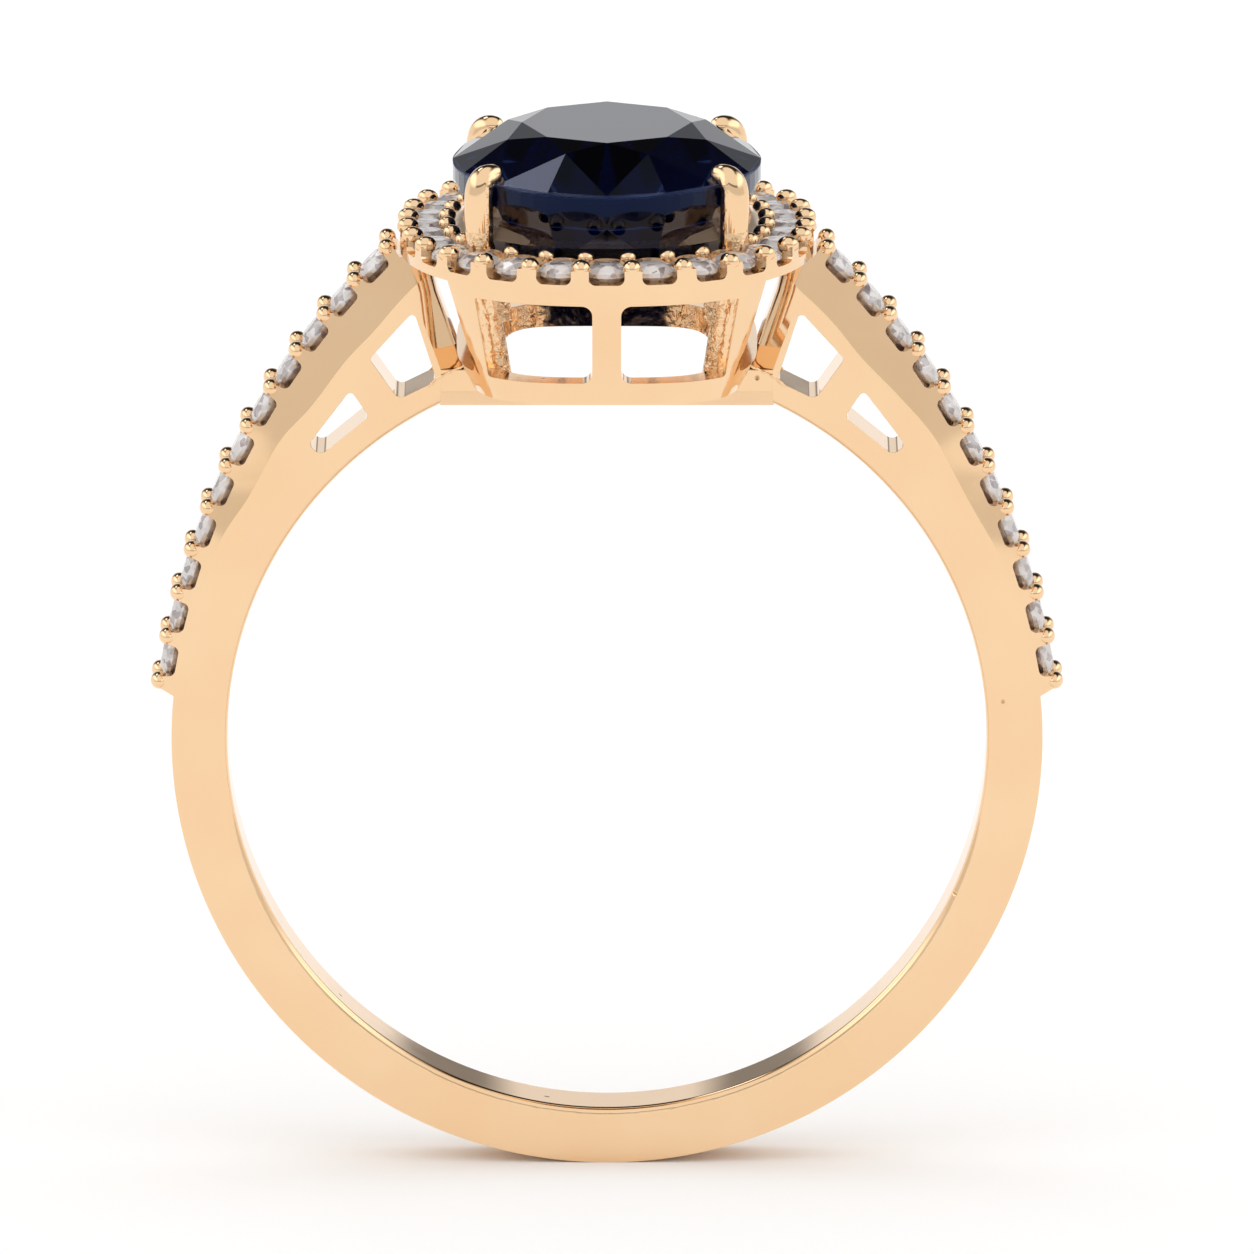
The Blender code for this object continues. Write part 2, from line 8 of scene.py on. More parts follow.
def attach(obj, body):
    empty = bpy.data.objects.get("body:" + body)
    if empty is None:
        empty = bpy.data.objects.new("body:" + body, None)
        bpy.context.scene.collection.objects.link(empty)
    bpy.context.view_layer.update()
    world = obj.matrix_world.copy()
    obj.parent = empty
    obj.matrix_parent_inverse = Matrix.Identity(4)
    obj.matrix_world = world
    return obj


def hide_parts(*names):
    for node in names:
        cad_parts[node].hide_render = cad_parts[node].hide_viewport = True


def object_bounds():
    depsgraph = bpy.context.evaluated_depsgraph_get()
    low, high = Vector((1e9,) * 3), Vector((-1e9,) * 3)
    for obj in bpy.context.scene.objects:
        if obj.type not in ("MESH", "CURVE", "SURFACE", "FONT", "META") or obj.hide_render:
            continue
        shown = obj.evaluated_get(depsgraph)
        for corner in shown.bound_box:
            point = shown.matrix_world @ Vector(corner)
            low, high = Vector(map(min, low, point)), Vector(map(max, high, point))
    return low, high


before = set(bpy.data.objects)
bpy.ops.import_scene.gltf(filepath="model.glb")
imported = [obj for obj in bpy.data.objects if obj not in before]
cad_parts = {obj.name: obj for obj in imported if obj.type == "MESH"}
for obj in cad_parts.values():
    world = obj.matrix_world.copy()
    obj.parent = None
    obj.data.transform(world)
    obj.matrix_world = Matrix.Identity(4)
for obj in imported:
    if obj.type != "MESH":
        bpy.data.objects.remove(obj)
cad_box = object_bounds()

# Camera: a long lens a little above the ring, looking along the finger.
# It is aimed just right of the band's middle, between the foot and the stone's table.
CAMERA_ELEVATION = math.radians(12.3)
CAMERA_DISTANCE = 0.5
FRAME_WIDTH = 0.02858
AIM = Vector((0.000456, 0, 0.00243))

camera_data = bpy.data.cameras.new("ring_camera")
camera_data.lens = camera_data.sensor_width * CAMERA_DISTANCE / FRAME_WIDTH
camera_data.clip_start = 0.01
camera_data.clip_end = 10
camera = bpy.data.objects.new("ring_camera", camera_data)
bpy.context.collection.objects.link(camera)
step_back = Vector((0, -math.cos(CAMERA_ELEVATION), math.sin(CAMERA_ELEVATION)))
camera.location = AIM + step_back * CAMERA_DISTANCE
camera.rotation_euler = (math.pi / 2 - CAMERA_ELEVATION, 0, 0)
bpy.context.scene.camera = camera
bpy.context.scene.view_settings.view_transform = "Standard"


class Value:
    """A shader socket that takes part in ordinary sums."""

    def __init__(self, tree, socket):
        self.tree = tree
        self.socket = socket

    def sum(self, operation, *others, clamp=False):
        node = self.tree.nodes.new("ShaderNodeMath")
        node.operation = operation
        node.use_clamp = clamp
        for slot, other in zip(node.inputs, others):
            if isinstance(other, Value):
                self.tree.links.new(other.socket, slot)
            else:
                slot.default_value = other
        return Value(self.tree, node.outputs[0])

    def __add__(self, other):
        return self.sum("ADD", self, other)

    def __radd__(self, other):
        return self.sum("ADD", other, self)

    def __sub__(self, other):
        return self.sum("SUBTRACT", self, other)

    def __rsub__(self, other):
        return self.sum("SUBTRACT", other, self)

    def __mul__(self, other):
        return self.sum("MULTIPLY", self, other)

    def __rmul__(self, other):
        return self.sum("MULTIPLY", other, self)

    def squared(self):
        return self.sum("MULTIPLY", self, self)

    def ramp(self, low, high):
        """0 below low, 1 above high, straight between."""
        return self.sum("MULTIPLY", self - low, 1 / (high - low), clamp=True)


class Finish:
    """A material or world, whose nodes are made from a type, settings and inputs."""

    def __init__(self, tree):
        self.tree = tree

    @classmethod
    def material(cls, name):
        skin = bpy.data.materials.new(name)
        skin.use_nodes = True
        finish = cls(skin.node_tree)
        finish.skin = skin
        return finish

    def node(self, kind, settings=None, pick=0, **inputs):
        """Inputs are named as on the node, with _ for a space, or _0, _1... by number."""
        node = self.tree.nodes.new(kind)
        for name, value in (settings or {}).items():
            setattr(node, name, value)
        self.feed(node, inputs)
        return Value(self.tree, node.outputs[pick])

    def feed(self, node, inputs):
        for name, value in inputs.items():
            number = name[1:].isdigit()
            socket = node.inputs[int(name[1:]) if number else name.replace("_", " ")]
            if isinstance(value, Value):
                self.tree.links.new(value.socket, socket)
            else:
                socket.default_value = value

    def split(self, vector):
        node = self.tree.nodes.new("ShaderNodeSeparateXYZ")
        self.tree.links.new(vector.socket, node.inputs[0])
        return [Value(self.tree, socket) for socket in node.outputs]

    def principled(self, **inputs):
        self.feed(self.tree.nodes["Principled BSDF"], inputs)

    def output(self, kind, surface):
        node = self.tree.nodes.new(kind)
        self.tree.links.new(surface.socket, node.inputs["Surface"])


# Studio: a white sweep under a white tent. Polished metal and stone mirror its grey foot
# line, the dark gap around the lens, the side softboxes, and a dark ceiling with a
# doorway and a lamp behind the ring. Ramps are in parts of a direction of length one.
TENT_WHITE = 1.12
FOOT_LINE_DIM = 0.22
LENS_GAP_DIM = 0.84
DOORWAY_DIM = 0.12
LAMP_GLOW = 2.3
SOFTBOX_GLOW = 0.6
PAPER_WHITE = 0.95

world = bpy.data.worlds.new("tent")
bpy.context.scene.world = world
world.use_nodes = True
world.node_tree.nodes.clear()
tent = Finish(world.node_tree)
east, north, up = tent.split(tent.node("ShaderNodeTexCoord", pick="Generated"))
sideways = east.sum("ABSOLUTE", east)
before_ring = north.ramp(0.05, -0.15)
behind_ring = north.ramp(-0.15, 0.05)
middle = sideways.ramp(0.66, 0.46)
foot_line = before_ring * up.ramp(-0.02, 0.01) * up.ramp(0.28, 0.24)
lens_gap = before_ring * up.ramp(0.25, 0.28) * up.ramp(0.40, 0.34) * middle
doorway = sideways.ramp(0.14, 0.10) * up.ramp(0.32, 0.28)
ceiling = behind_ring * up.ramp(0.09, 0.12) * up.ramp(0.93, 0.86) * middle * (1 - doorway)
ceiling_depth = 0.74 + up.ramp(0.38, 0.46) * 0.23
lamp = east.ramp(-0.46, -0.43) * east.ramp(-0.22, -0.25) * up.ramp(0.66, 0.69)
lamp = lamp * up.ramp(0.84, 0.81) * behind_ring
softbox = sideways.ramp(0.55, 0.70) * up.ramp(0.30, 0.40) * up.ramp(0.85, 0.75)
glow = 1 - foot_line * FOOT_LINE_DIM - lens_gap * LENS_GAP_DIM - ceiling * ceiling_depth
glow = (glow - doorway * behind_ring * up.ramp(0.09, 0.12) * DOORWAY_DIM + lamp * LAMP_GLOW
        + softbox * SOFTBOX_GLOW)
tint = tent.node("ShaderNodeCombineColor", _0=glow, _1=glow, _2=glow)
mirrored_tent = tent.node("ShaderNodeBackground", Color=tint, Strength=1.0)
plain_tent = tent.node("ShaderNodeBackground", Color=(1, 1, 1, 1), Strength=TENT_WHITE)
soft_light = tent.node("ShaderNodeLightPath", pick="Is Diffuse Ray")
tent.output("ShaderNodeOutputWorld",
            tent.node("ShaderNodeMixShader", _0=soft_light, _1=mirrored_tent, _2=plain_tent))

bpy.ops.object.select_all(action="DESELECT")
bpy.ops.mesh.primitive_plane_add(size=4, location=(0, 0, cad_box[0][2]))
sweep = bpy.context.object
sweep.name = "sweep"
paper = Finish.material("sweep_paper")
paper.principled(Base_Color=(PAPER_WHITE, PAPER_WHITE, PAPER_WHITE, 1), Roughness=0.8)
sweep.data.materials.append(paper.skin)


# Band: the hoop and both cathedral shoulders are one gold casting with flat polished
# sides. Its outline is cut out, the windows are sawn through, the finger hole's edges
# are rounded, and the row's scallops and stone seats are cut along the top.
MILLIMETRE = 0.001
HOLE_RADIUS = 8.65
HOOP_RADIUS = 9.92
BAND_WIDTH = 1.70
ROW_TOP = Vector((4.99, 11.37))
ROW_FOOT = Vector((10.19, 1.33))
ROW_RADIUS = 17.95
ROW_STONES = 11
ROW_STONE_SINK = 0.12
SMALL_STONE_RADIUS = 0.51
HOLE_EDGE_ROUND = 0.17
SLIVER = 0.004
FLAT_WITHIN = math.radians(0.3)
CRISP_ABOVE = math.radians(34)
SMOOTH_BELOW = math.radians(50)
ROUND_STEPS = 6


def activate(piece):
    if bpy.context.object and bpy.context.object.mode != "OBJECT":
        bpy.ops.object.mode_set(mode="OBJECT")
    bpy.ops.object.select_all(action="DESELECT")
    piece.select_set(True)
    bpy.context.view_layer.objects.active = piece


def edit(piece, kind="FACE"):
    activate(piece)
    bpy.ops.object.mode_set(mode="EDIT")
    bpy.ops.mesh.select_mode(type=kind)
    bpy.ops.mesh.select_all(action="DESELECT")


def pick_edges(piece, wanted):
    """Of the edges, or of those already selected, select the ones that pass a test."""
    sketch = bmesh.from_edit_mesh(piece.data)
    chosen = [edge for edge in sketch.edges if edge.select] or sketch.edges
    chosen = {edge for edge in chosen if wanted(*(vert.co for vert in edge.verts))}
    for edge in sketch.edges:
        edge.select_set(edge in chosen)
    bmesh.update_edit_mesh(piece.data)


def draw(name, points, faces):
    mesh = bpy.data.meshes.new(name)
    mesh.from_pydata(points, [], faces)
    piece = bpy.data.objects.new(name, mesh)
    bpy.context.collection.objects.link(piece)
    return piece


def face_outwards():
    bpy.ops.mesh.select_all(action="SELECT")
    bpy.ops.mesh.normals_make_consistent(inside=False)
    bpy.ops.object.mode_set(mode="OBJECT")


def cut_plate(name, outline, thickness, along=(0, 1, 0)):
    """Fill an outline in XZ, or in YZ for a plate along X, and extrude it both ways."""
    along = Vector(along)
    if along.y:
        points = [(a, -thickness / 2, z) for a, z in outline]
    else:
        points = [(-thickness / 2, a, z) for a, z in outline]
    plate = draw(name, points, [range(len(outline))])
    edit(plate)
    bpy.ops.mesh.select_all(action="SELECT")
    bpy.ops.mesh.extrude_region_move(TRANSFORM_OT_translate={"value": along * thickness})
    face_outwards()
    return plate


def loft(name, rings, closed=False):
    """Bridge rings of the same number of points, and close both ends or join them."""
    count = len(rings[0])
    spans = len(rings) if closed else len(rings) - 1
    faces = [] if closed else [range(count), range(count * spans, count * (spans + 1))]
    for level in range(spans):
        here = level * count
        there = (level + 1) % len(rings) * count
        for i in range(count):
            j = (i + 1) % count
            faces.append((here + i, here + j, there + j, there + i))
    piece = draw(name, [point for ring in rings for point in ring], faces)
    edit(piece)
    face_outwards()
    return piece


def apply_modifier(piece, kind, **settings):
    activate(piece)
    modifier = piece.modifiers.new(kind.lower(), kind)
    for name, value in settings.items():
        setattr(modifier, name, value)
    bpy.ops.object.modifier_apply(modifier=modifier.name)


def join(name, pieces):
    activate(pieces[0])
    for piece in pieces:
        piece.select_set(True)
    if len(pieces) > 1:
        bpy.ops.object.join()
    pieces[0].name = name
    return pieces[0]


def cut_away(piece, tool):
    apply_modifier(piece, "BOOLEAN", operation="DIFFERENCE", solver="EXACT", object=tool)
    bpy.data.objects.remove(tool, do_unlink=True)


def clean(piece):
    """Merge the slivers a cut leaves."""
    edit(piece, "EDGE")
    bpy.ops.mesh.select_all(action="SELECT")
    bpy.ops.mesh.remove_doubles(threshold=SLIVER)
    bpy.ops.mesh.dissolve_limited(angle_limit=FLAT_WITHIN)
    bpy.ops.object.mode_set(mode="OBJECT")


def soften(piece, width, segments=2, wanted=None):
    """Bevel the crisp edges, or those of them that pass a test."""
    edit(piece, "EDGE")
    bpy.ops.mesh.edges_select_sharp(sharpness=CRISP_ABOVE)
    if wanted:
        pick_edges(piece, wanted)
    bpy.ops.mesh.bevel(offset=width, segments=segments, affect="EDGES", clamp_overlap=True)
    polish(piece)


def polish(piece):
    activate(piece)
    bpy.ops.object.shade_smooth_by_angle(angle=SMOOTH_BELOW)
    apply_modifier(piece, "WEIGHTED_NORMAL", keep_sharp=True, weight=60)


def seat(piece, slot, *nodes):
    """Bring a piece drawn in millimetres to metres and tie it to the CAD model."""
    activate(piece)
    piece.scale = (MILLIMETRE, MILLIMETRE, MILLIMETRE)
    bpy.ops.object.transform_apply(location=True, rotation=True, scale=True)
    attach(piece, "root")
    if nodes:
        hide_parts(*nodes)


def rounded(corners, radii):
    """Replace corners of a closed polygon by short rounds; a radius of 0 stays sharp."""
    outline = []
    count = len(corners)
    for i, radius in enumerate(radii):
        corner = Vector(corners[i])
        if not radius:
            outline.append(tuple(corner))
            continue
        before = (Vector(corners[i - 1]) - corner).normalized()
        after = (Vector(corners[(i + 1) % count]) - corner).normalized()
        half_angle = before.angle(after) / 2
        centre = corner + (before + after).normalized() * radius / math.sin(half_angle)
        start = corner + before * radius / math.tan(half_angle) - centre
        end = corner + after * radius / math.tan(half_angle) - centre
        for k in range(ROUND_STEPS + 1):
            spoke = start.lerp(end, k / ROUND_STEPS).normalized() * radius
            outline.append(tuple(centre + spoke))
    return outline


def mirrored(outline):
    return [(-x, z) for x, z in reversed(outline)]


row_chord = ROW_FOOT - ROW_TOP
row_out = Vector((-row_chord.y, row_chord.x)).normalized()
row_rise = math.sqrt(ROW_RADIUS ** 2 - (row_chord.length / 2) ** 2)
row_centre = (ROW_TOP + ROW_FOOT) / 2 - row_out * row_rise
row_start = math.atan2(*reversed(ROW_TOP - row_centre))
row_step = (row_start - math.atan2(*reversed(ROW_FOOT - row_centre))) / ROW_STONES
row_pitch = row_step * ROW_RADIUS


def on_row(station, depth=0.0, along=0.0):
    """A point of the right shoulder's row: at a bead station, below the bead line."""
    turn = row_start - station * row_step - along / ROW_RADIUS
    return row_centre + Vector((math.cos(turn), math.sin(turn))) * (ROW_RADIUS - depth)


def row_outward(station):
    return (on_row(station) - row_centre).normalized()


def arc(radius, start, end, steps):
    turns = [start + (end - start) * k / steps for k in range(steps + 1)]
    return [(radius * math.cos(turn), radius * math.sin(turn)) for turn in turns]


POST_TOP = (0.14, 0.04)
SCALLOP_FLOOR = (0.19, 0.31)
CHANNEL_WIDTH = 0.76
CHANNEL_DEPTH = 0.17
ABOVE_ROW = 0.5
BURR_RADII = (0.05, 0.525)
BURR_LENGTH = 0.56
BURR_SINK = 0.26
SCALLOP_EDGE_ROUND = 0.055
BAND_EDGE_ROUND = 0.026
BIG_WINDOW = [(3.86, 8.33), (4.73, 7.90), (5.39, 8.84), (4.38, 9.95)]
BIG_WINDOW_ROUNDS = [0.10, 0.20, 0.12, 0.10]
SMALL_WINDOW = [(5.40, 7.50), (6.50, 6.60), (6.78, 6.85), (5.82, 8.12)]
SMALL_WINDOW_ROUNDS = [0.12, 0.20, 0.12, 0.10]
NOSE = [(3.76, 8.60), (3.23, 8.60), (3.85, 10.35), (4.05, 11.20), (4.70, 11.20)]

post_half, post_drop = POST_TOP
floor_half, floor_depth = SCALLOP_FLOOR
gap = [(post_half, post_drop), (floor_half, floor_depth),
       (row_pitch - floor_half, floor_depth), (row_pitch - post_half, post_drop)]
gap = rounded(gap, [0, 0.15, 0.15, 0])
crest = [tuple(on_row(0, post_drop, -post_half))]
for station in range(ROW_STONES):
    crest += [tuple(on_row(station, depth, along)) for along, depth in gap]
crest.append(tuple(on_row(ROW_STONES, post_drop, post_half)))
hoop = arc(HOOP_RADIUS, math.asin(1.0 / HOOP_RADIUS), -math.pi / 2, 130)
right_side = NOSE + crest + hoop
rail_turn = math.acos(NOSE[0][0] / HOLE_RADIUS)
hole = arc(HOLE_RADIUS, -math.pi - rail_turn, rail_turn, 240)
band = cut_plate("band", right_side + mirrored(right_side[:-1]) + hole, BAND_WIDTH)

edit(band, "EDGE")
pick_edges(band, lambda a, b: a.y * b.y > 0 and math.hypot(a.x, a.z) < HOLE_RADIUS + 0.001
           and math.hypot(b.x, b.z) < HOLE_RADIUS + 0.001)
bpy.ops.mesh.bevel(offset=HOLE_EDGE_ROUND, segments=6, affect="EDGES")
bpy.ops.object.mode_set(mode="OBJECT")

windows = []
channels = []
seats = []
for side in (-1, 1):
    for corners, rounds in ((BIG_WINDOW, BIG_WINDOW_ROUNDS), (SMALL_WINDOW, SMALL_WINDOW_ROUNDS)):
        outline = [(side * x, z) for x, z in rounded(corners, rounds)]
        windows.append(cut_plate("saw", outline, BAND_WIDTH + 1))
    outer = [on_row(k / 2, -ABOVE_ROW) for k in range(2 * ROW_STONES + 1)]
    inner = [on_row(k / 2, CHANNEL_DEPTH) for k in range(2 * ROW_STONES + 1)]
    outline = [(side * point.x, point.y) for point in outer + inner[::-1]]
    channels.append(cut_plate("graver", outline, CHANNEL_WIDTH))
    for station in range(ROW_STONES):
        point = on_row(station + 0.5, ROW_STONE_SINK)
        outward = row_outward(station + 0.5)
        axis = Vector((side * outward.x, 0, outward.y))
        turn = Vector((0, 0, 1)).rotation_difference(axis)
        place = Vector((side * point.x, 0, point.y)) - axis * BURR_SINK
        bpy.ops.object.select_all(action="DESELECT")
        bpy.ops.mesh.primitive_cone_add(vertices=24, radius1=BURR_RADII[0],
                                        radius2=BURR_RADII[1], depth=BURR_LENGTH,
                                        location=place, rotation=turn.to_euler())
        seats.append(bpy.context.object)
cut_away(band, join("saw", windows))
cut_away(band, join("graver", channels))
cut_away(band, join("burr", seats))

NOSE_TOP = (4.15, 11.6)
NOSE_ROUND = [(-0.60, 0.42), (-0.02, 0.42), (0.08, 0.60), (0.58, 0.86), (0.58, 1.4),
              (-0.60, 1.4)]
wedges = []
for side in (-1, 1):
    for front in (-1, 1):
        wedges.append(loft("file", [[(side * (x + a), front * b, z) for a, b in NOSE_ROUND]
                                    for x, z in (NOSE[1], NOSE[2], NOSE_TOP)]))
cut_away(band, join("file", wedges))
clean(band)


def near_row(a, b):
    """Whether an edge of the band lies on the posts and scallops of a shoulder's row."""
    depths = [ROW_RADIUS - (Vector((abs(co.x), co.z)) - row_centre).length for co in (a, b)]
    return max(depths) < 0.36 and min(a.z, b.z) > 1.1


soften(band, SCALLOP_EDGE_ROUND, segments=3, wanted=near_row)
soften(band, BAND_EDGE_ROUND, wanted=lambda a, b: not near_row(a, b))


GOLD_LIGHT = (0.905, 0.634, 0.387, 1)
GOLD_DEEP = (0.885, 0.602, 0.352, 1)
# The pit colour below is painted shade for the casting pits.
GOLD_PIT_SHADE = (0.50, 0.26, 0.10, 1)
WAVE_HEIGHT = 9e-6
SCRATCH_DEPTH = 3e-8
PIT_DEPTH = 1.2e-5
GRAIN_HEIGHT = 5e-5
CRUMB_HEIGHT = 3e-5


def gold(name, cast=None, crown=None):
    """Polished gold, faintly uneven, with a few casting pits, darkened by painted shade.
    cast and crown are functions of the place in millimetres: where the raw casting shows,
    and how high the polish has left the surface."""
    metal = Finish.material(name)
    place = metal.node("ShaderNodeTexCoord", pick="Object")
    tone = metal.node("ShaderNodeTexNoise", Vector=place, Scale=420.0, Detail=2.0)
    colour = metal.node("ShaderNodeMix", {"data_type": "RGBA"}, pick=2,
                        _0=tone.ramp(0.3, 0.7), _6=GOLD_LIGHT, _7=GOLD_DEEP)
    pit = metal.node("ShaderNodeTexVoronoi", Vector=place, Scale=620.0).ramp(0.045, 0.02)
    haze = metal.node("ShaderNodeTexNoise", Vector=place, Scale=2600.0, Detail=4.0)
    lines = metal.node("ShaderNodeMapping", Vector=place, Scale=(9000.0, 3000.0, 40000.0))
    scratches = metal.node("ShaderNodeTexNoise", Vector=lines, Scale=1.0, Detail=2.0)
    wave = metal.node("ShaderNodeTexNoise", Vector=place, Scale=380.0, Detail=1.0)
    roughness = 0.05 + haze * 0.08
    height = wave * WAVE_HEIGHT + scratches * SCRATCH_DEPTH - pit * PIT_DEPTH
    axes = [axis * (1 / MILLIMETRE) for axis in metal.split(place)]
    if crown:
        height = height + crown(metal, place, axes) * MILLIMETRE
    if cast:
        rough = cast(metal, axes)
        grain = metal.node("ShaderNodeTexVoronoi", {"feature": "SMOOTH_F1"}, Vector=place,
                           Scale=5200.0)
        crumbs = metal.node("ShaderNodeTexNoise", Vector=place, Scale=9000.0, Detail=2.0)
        height = height + rough * (grain * GRAIN_HEIGHT + crumbs * CRUMB_HEIGHT)
        roughness = roughness + rough * 0.08
    bump = metal.node("ShaderNodeBump", Height=height, Strength=1.0, Distance=1.0)
    # The base colour is darkened in the pits: painted shade in the recesses, on top of their
    # bump.
    metal.principled(Roughness=roughness, Metallic=1.0, Normal=bump, Base_Color=metal.node(
        "ShaderNodeMix", {"data_type": "RGBA"}, pick=2, _0=pit, _6=colour, _7=GOLD_PIT_SHADE))
    return metal.skin


ROLL_START = 16.60
ROLL_SLOPE = 0.215
ROLL_NARROWS = 0.089
ROLL_WAVER = 0.4
ROLL_TOP = 11.0


def shoulder_roll(metal, place, axes):
    """The polishing wheel rolls the sides over towards the row of stones."""
    x, _, z = axes
    across = x.sum("ABSOLUTE", x) - row_centre.x
    reach = across.squared() + (z - row_centre.y).squared()
    reach = reach.sum("SQRT", reach)
    waver = metal.node("ShaderNodeTexNoise", Vector=place, Scale=500.0, Detail=0.0)
    over = reach - ROLL_START - (ROLL_TOP - z) * ROLL_NARROWS - waver * ROLL_WAVER
    return over.sum("MAXIMUM", over, 0.0) * -ROLL_SLOPE


band.data.materials.append(gold("band_gold", crown=shoulder_roll))
seat(band, "band_gold", "shank")


# Beads of the shoulders: at each station of the row one bead stands over each edge, on
# its post, and is pushed over the two stones beside it.
def bead(place, axes, size):
    """A round bead stretched along its own axes, given as the columns of a turn."""
    bpy.ops.object.select_all(action="DESELECT")
    bpy.ops.mesh.primitive_uv_sphere_add(segments=24, ring_count=16, radius=1)
    piece = bpy.context.object
    piece.matrix_world = (Matrix.Translation(place) @ Matrix(axes).transposed().to_4x4()
                          @ Matrix.Diagonal((*size, 1)))
    return piece


def finish_beads(name, beads, slot):
    joined = join(name, beads)
    bpy.ops.object.transform_apply(location=True, rotation=True, scale=True)
    bpy.ops.object.shade_smooth()
    joined.data.materials.append(gold(name + "_gold"))
    seat(joined, slot)


ROW_BEAD_SIZE = (0.20, 0.31, 0.205)
ROW_BEAD_OFFSET = 0.60

beads = []
for station in range(ROW_STONES + 1):
    point = on_row(station)
    outward = row_outward(station)
    for side in (-1, 1):
        away = Vector((side * outward.x, 0, outward.y))
        axes = (Vector((0, 1, 0)).cross(away), Vector((0, 1, 0)), away)
        for front in (-1, 1):
            place = (side * point.x, front * ROW_BEAD_OFFSET, point.y)
            beads.append(bead(place, axes, ROW_BEAD_SIZE))
finish_beads("shoulder_beads", beads, "band_gold")


# Base: a chamfered bar across the top of the finger hole, between the shoulder rails,
# that carries the basket. It is hollowed out under the basket's windows, and the solder
# that joins it to the shoulders has set in lumps.
BASE_TOP = 8.59
BASE_END = 3.80
BASE_SECTION = [(-0.82, BASE_TOP), (-0.82, 8.08), (-0.35, 7.66), (0.35, 7.66), (0.82, 8.08),
                (0.82, BASE_TOP)]
BASE_POCKET = [(-2.75, 7.93), (2.75, 7.93), (2.95, 9.0), (-2.95, 9.0)]
SOLDER_LINE = [(4.10, 8.16, 0.020), (4.02, 8.22, 0.035), (3.93, 8.31, 0.050),
               (3.84, 8.39, 0.030), (3.74, 8.45, 0.038), (3.66, 8.50, 0.020),
               (3.57, 8.52, 0.034), (3.46, 8.60, 0.022), (3.34, 8.63, 0.036),
               (3.22, 8.70, 0.020), (3.12, 8.72, 0.028)]


def draw_wire(name, line, order=3):
    """A wire along knots of X, Y, Z and radius, turned into a mesh."""
    path = bpy.data.curves.new(name, "CURVE")
    path.dimensions = "3D"
    path.bevel_depth = 1.0
    path.bevel_resolution = 6
    path.resolution_u = 8
    path.use_fill_caps = True
    spline = path.splines.new("NURBS")
    spline.points.add(len(line) - 1)
    for knot, (x, y, z, radius) in zip(spline.points, line):
        knot.co = (x, y, z, 1)
        knot.radius = radius
    spline.order_u = order
    spline.use_endpoint_u = True
    wire = bpy.data.objects.new(name, path)
    bpy.context.collection.objects.link(wire)
    activate(wire)
    bpy.ops.object.convert(target="MESH")
    return bpy.context.object


bar = cut_plate("base_bar", BASE_SECTION, 2 * BASE_END, along=(1, 0, 0))
cut_away(bar, cut_plate("saw", rounded(BASE_POCKET, [0.3, 0.3, 0, 0]), 4))
clean(bar)
soften(bar, 0.05, segments=3)
bar.data.materials.append(gold("base_gold"))
seat(bar, "setting_gold", "under_bridge")

seams = []
for side in (-1, 1):
    for front in (-1, 1):
        line = [(side * x, front * 0.83, z, radius) for x, z, radius in SOLDER_LINE]
        seams.append(draw_wire("solder", line))
solder = join("solder_seams", seams)
polish(solder)
solder.data.materials.append(gold("solder_gold", cast=lambda metal, axes: axes[2].ramp(7.0, 7.1)))
seat(solder, "setting_gold")


# Head: the tapered basket and the halo's plate are one casting. The plate has a channel
# with a drilled seat for each stone, and is scalloped outside, which leaves posts.
HALO_STONES = 28
HALO_PLAN = (4.08, 4.97, 2.3)
HALO_GIRDLE = 11.75
OUTER_EDGE = (0.62, 0.78)
INNER_EDGE = (-0.80, -1.00)
PLATE_UNDERSIDE = 11.30
PLATE_STEPS = HALO_STONES * 8
FINE_STEPS = 2080
BASKET_FOOT_PLAN = (3.10, 4.80, 3.85)
BASKET_WALL = 0.70
PLATE_EDGE_ROUND = 0.022
WALL_EDGE_ROUND = 0.045
SCALLOP_REACH = 0.76
SCALLOP_LENGTH = 1.1
SAW_LENGTH = 14
WINDOW = [(0.325, 9.12), (2.67, 9.12), (2.98, 11.02), (0.325, 11.02)]
WINDOW_ROUNDS = [0.24, 0.10, 0.05, 0.24]
SIDE_OPENING = [(-3.75, 9.12), (3.75, 9.12), (4.05, PLATE_UNDERSIDE), (-4.05, PLATE_UNDERSIDE)]


def oval(plan, turn):
    """A point of a cushion oval: half X, half Y, and how square its corners are."""
    half_x, half_y, square = plan
    across, along = math.cos(turn), math.sin(turn)
    return Vector((half_x * math.copysign(abs(across) ** (2 / square), across),
                   half_y * math.copysign(abs(along) ** (2 / square), along)))


track = [oval(HALO_PLAN, math.tau * k / FINE_STEPS - math.pi / 2) for k in range(FINE_STEPS + 1)]
distance = [0.0]
for before, after in zip(track, track[1:]):
    distance.append(distance[-1] + (after - before).length)


def on_halo(station, side=0.0, end=0.0):
    """A point beside the stones' centre line, with station in stones, and the way out."""
    target = station / HALO_STONES % 1.0 * distance[-1]
    k = next(k for k in range(1, FINE_STEPS + 1) if distance[k] >= target)
    share = (target - distance[k - 1]) / (distance[k] - distance[k - 1])
    along = (track[(k + 1) % FINE_STEPS] - track[k - 2]).normalized()
    outward = Vector((along.y, -along.x))
    point = track[k - 1].lerp(track[k], share) + outward * (side + (end - side) * outward.y ** 2)
    return point, outward


def wall_ring(height, inset=0.0):
    """The basket's wall, from its foot's plan up to the outer edge of the plate."""
    rise = (height - BASE_TOP) / (PLATE_UNDERSIDE - BASE_TOP)
    ring = []
    for k in range(PLATE_STEPS):
        top, outward = on_halo(k / 8, *OUTER_EDGE)
        half_x, half_y = (plan + edge for plan, edge in zip(HALO_PLAN, OUTER_EDGE))
        power = HALO_PLAN[2] / 2
        turn = math.atan2(math.copysign(abs(top.y / half_y) ** power, top.y),
                          math.copysign(abs(top.x / half_x) ** power, top.x))
        point = oval(BASKET_FOOT_PLAN, turn).lerp(top, rise) - outward * inset
        ring.append((*point, height))
    return ring


